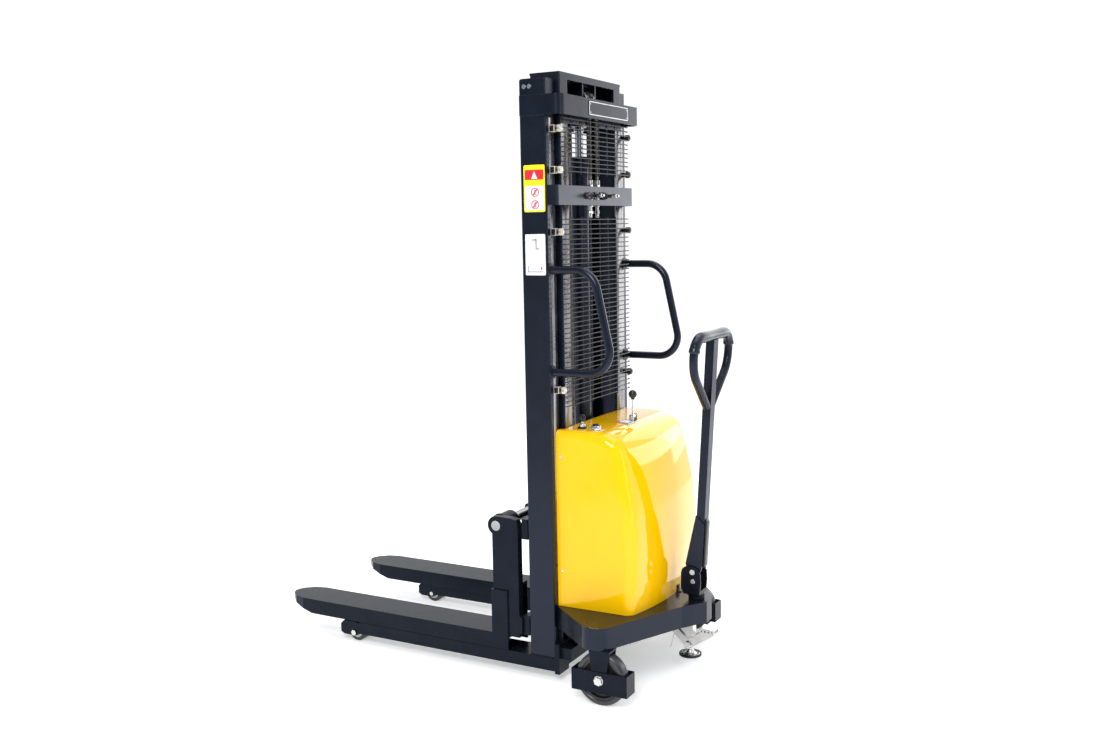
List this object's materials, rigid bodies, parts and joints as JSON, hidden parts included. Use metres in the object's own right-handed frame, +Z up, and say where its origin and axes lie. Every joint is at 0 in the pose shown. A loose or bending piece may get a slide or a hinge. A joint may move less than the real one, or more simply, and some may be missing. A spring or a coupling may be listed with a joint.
{
  "type": "walkie stacker",
  "caption": "Pedestrian straddle stacker with a two-stage mast, adjustable forks over its legs, a power unit cover, a steering tiller and a floor lock.",
  "frame": {"origin": "on the floor, under the middle of the overall length and width", "axes": "-X along the forks towards their tips, +X towards the operator, -Y the machine's left, +Z up"},
  "size_m": [1.6922, 0.892, 2.08],
  "materials": {
    "mast_paint": "satin",
    "yellow_cover": "glossy",
    "zinc_steel": "satin",
    "zinc_wire": "satin",
    "chain_steel": "oiled",
    "bearing_steel": "satin",
    "chrome_rod": "polished",
    "black_plastic": "matte",
    "cream_plastic": "satin",
    "label_plate": "satin",
    "grip_rubber": "matte",
    "wheel_tread": "satin"
  },
  "bodies": {
    "chassis": {"outer_mast_left": "mast_paint", "outer_mast_right": "mast_paint", "mast_guide_pads": "black_plastic", "upper_tie_band": "mast_paint", "middle_tie_bar": "mast_paint", "chain_anchors": "zinc_steel", "straddle_leg_left": "mast_paint", "straddle_leg_right": "mast_paint", "load_axles": "zinc_steel", "base_frame": "mast_paint", "platform_deck": "mast_paint", "steering_bearings": "mast_paint", "power_cover": "yellow_cover", "small_screws": "zinc_steel", "panel_trim": "label_plate", "battery": "black_plastic", "hydraulic_unit": "mast_paint", "lift_cylinder": "mast_paint", "mesh_guards": "zinc_wire", "guard_clamps": "cream_plastic", "grab_handles": "mast_paint", "floor_lock_bracket": "zinc_steel", "lift_chain_rear": "chain_steel"},
    "inner_mast": {"inner_mast_left": "mast_paint", "inner_mast_right": "mast_paint", "inner_mast_crossbars": "mast_paint", "sheave_bracket": "mast_paint", "cylinder_rod": "chrome_rod", "lift_chain_top": "chain_steel", "lift_chain_front": "chain_steel"},
    "inner_mast_rollers": {"inner_mast_rollers": "bearing_steel"},
    "chain_sheaves": {"chain_sheaves": "bearing_steel"},
    "carriage": {"fork_carriage": "mast_paint", "fork_shaft": "bearing_steel"},
    "carriage_rollers_lower": {"carriage_rollers_lower": "bearing_steel"},
    "carriage_rollers_upper": {"carriage_rollers_upper": "bearing_steel"},
    "fork_left": {"fork_left": "mast_paint"},
    "fork_right": {"fork_right": "mast_paint"},
    "load_wheel_left": {"load_wheel_left": "wheel_tread"},
    "load_wheel_right": {"load_wheel_right": "wheel_tread"},
    "tiller_bracket": {"tiller_bracket": "mast_paint", "tiller_bolts": "zinc_steel"},
    "tiller": {"tiller_arm": "mast_paint", "tiller_loop": "mast_paint", "tiller_grip": "grip_rubber"},
    "tie_rod_left": {"tie_rod_left": "zinc_steel"},
    "tie_rod_right": {"tie_rod_right": "zinc_steel"},
    "caster_left": {"caster_fork_left": "mast_paint", "toe_guard_left": "mast_paint", "caster_axle_left": "zinc_steel"},
    "caster_right": {"caster_fork_right": "mast_paint", "toe_guard_right": "mast_paint", "caster_axle_right": "zinc_steel"},
    "steer_wheel_left": {"steer_wheel_left": "wheel_tread"},
    "steer_wheel_right": {"steer_wheel_right": "wheel_tread"},
    "control_lever": {"control_lever": "chrome_rod"},
    "key_switch": {"key_switch": "black_plastic"},
    "push_button": {"push_button": "black_plastic"},
    "floor_lock_lever": {"floor_lock_lever": "zinc_steel"},
    "floor_lock_foot": {"floor_lock_foot": "grip_rubber"}
  },
  "joints": [
    {"name": "mast_lift", "type": "slide", "parent": "chassis", "child": "inner_mast", "axis": [0, 0, 1], "range_m": [0, 1.42], "deforming": ["lift_chain_rear"]},
    {"name": "carriage_lift", "type": "slide", "parent": "inner_mast", "child": "carriage", "axis": [0, 0, 1], "range_m": [0, 1.42], "deforming": ["lift_chain_front"]},
    {"name": "inner_roller_spin", "type": "hinge", "parent": "inner_mast", "child": "inner_mast_rollers", "pos_m": [0.31338, 0, 0.152], "axis": [0, 1, 0], "range_deg": [0, 2131]},
    {"name": "sheave_spin", "type": "hinge", "parent": "inner_mast", "child": "chain_sheaves", "pos_m": [0.32788, 0, 1.985], "axis": [0, 1, 0], "range_deg": [0, 1481]},
    {"name": "carriage_roller_lower_spin", "type": "hinge", "parent": "carriage", "child": "carriage_rollers_lower", "pos_m": [0.32238, 0, 0.197], "axis": [0, 1, 0], "range_deg": [0, 1802]},
    {"name": "carriage_roller_upper_spin", "type": "hinge", "parent": "carriage", "child": "carriage_rollers_upper", "pos_m": [0.32238, 0, 0.43], "axis": [0, 1, 0], "range_deg": [0, 1802]},
    {"name": "fork_left_shift", "type": "slide", "parent": "carriage", "child": "fork_left", "axis": [0, 1, 0], "range_m": [0, 0.12]},
    {"name": "fork_right_shift", "type": "slide", "parent": "carriage", "child": "fork_right", "axis": [0, -1, 0], "range_m": [0, 0.12]},
    {"name": "load_wheel_left_spin", "type": "hinge", "parent": "chassis", "child": "load_wheel_left", "pos_m": [-0.51312, -0.258, 0.038], "axis": [0, 1, 0], "continuous": true},
    {"name": "load_wheel_right_spin", "type": "hinge", "parent": "chassis", "child": "load_wheel_right", "pos_m": [-0.51312, 0.258, 0.038], "axis": [0, 1, 0], "continuous": true},
    {"name": "tiller_steer", "type": "hinge", "parent": "chassis", "child": "tiller_bracket", "pos_m": [0.76488, 0, 0.28], "axis": [0, 0, 1], "range_deg": [-50, 50]},
    {"name": "tiller_tilt", "type": "hinge", "parent": "tiller_bracket", "child": "tiller", "pos_m": [0.76388, 0, 0.3677], "axis": [0, 1, 0], "range_deg": [0, 80]},
    {"name": "tie_rod_left_pivot", "type": "hinge", "parent": "tiller_bracket", "child": "tie_rod_left", "pos_m": [0.73577, 0.02443, 0.204], "axis": [0, 0, 1], "range_deg": [-50, 50]},
    {"name": "tie_rod_right_pivot", "type": "hinge", "parent": "tiller_bracket", "child": "tie_rod_right", "pos_m": [0.73577, -0.02443, 0.196], "axis": [0, 0, 1], "range_deg": [-50, 50]},
    {"name": "caster_left_steer", "type": "hinge", "parent": "chassis", "child": "caster_left", "pos_m": [0.59388, -0.403, 0.2], "axis": [0, 0, 1], "range_deg": [-50, 50]},
    {"name": "caster_right_steer", "type": "hinge", "parent": "chassis", "child": "caster_right", "pos_m": [0.59388, 0.403, 0.2], "axis": [0, 0, 1], "range_deg": [-50, 50]},
    {"name": "steer_wheel_left_spin", "type": "hinge", "parent": "caster_left", "child": "steer_wheel_left", "pos_m": [0.59388, -0.403, 0.09], "axis": [0, 1, 0], "continuous": true},
    {"name": "steer_wheel_right_spin", "type": "hinge", "parent": "caster_right", "child": "steer_wheel_right", "pos_m": [0.59388, 0.403, 0.09], "axis": [0, 1, 0], "continuous": true},
    {"name": "control_lever_tilt", "type": "hinge", "parent": "chassis", "child": "control_lever", "pos_m": [0.53088, -0.01, 0.898], "axis": [0, 1, 0], "range_deg": [-15, 15], "stiffness_Nm_per_rad": 1.5},
    {"name": "key_turn", "type": "hinge", "parent": "chassis", "child": "key_switch", "pos_m": [0.43688, -0.219, 0.896], "axis": [0, 0, 1], "range_deg": [-90, 0]},
    {"name": "button_press", "type": "slide", "parent": "chassis", "child": "push_button", "axis": [0, 0, -1], "range_m": [0, 0.004], "stiffness_N_per_m": 800, "springref_m": -0.001},
    {"name": "floor_lock_press", "type": "hinge", "parent": "chassis", "child": "floor_lock_lever", "pos_m": [0.64588, 0.08, 0.126], "axis": [0, 1, 0], "range_deg": [0, 22], "stiffness_Nm_per_rad": 25, "springref_deg": -14.32},
    {"name": "floor_lock_foot_level", "type": "hinge", "parent": "floor_lock_lever", "child": "floor_lock_foot", "pos_m": [0.70858, 0.08, 0.0653], "axis": [0, 1, 0], "range_deg": [-22, 0]}
  ],
  "couplings": [
    {"joint": "carriage_lift", "follows": "mast_lift", "ratio": 1},
    {"joint": "inner_roller_spin", "follows": "mast_lift", "rad_per_m": 26.178},
    {"joint": "sheave_spin", "follows": "mast_lift", "rad_per_m": 18.182},
    {"joint": "carriage_roller_lower_spin", "follows": "mast_lift", "rad_per_m": 22.124},
    {"joint": "carriage_roller_upper_spin", "follows": "mast_lift", "rad_per_m": 22.124},
    {"joint": "caster_left_steer", "follows": "tiller_steer", "ratio": 1},
    {"joint": "caster_right_steer", "follows": "tiller_steer", "ratio": 1},
    {"joint": "tie_rod_left_pivot", "follows": "tiller_steer", "ratio": -1},
    {"joint": "tie_rod_right_pivot", "follows": "tiller_steer", "ratio": -1},
    {"joint": "floor_lock_foot_level", "follows": "floor_lock_press", "ratio": -1}
  ]
}
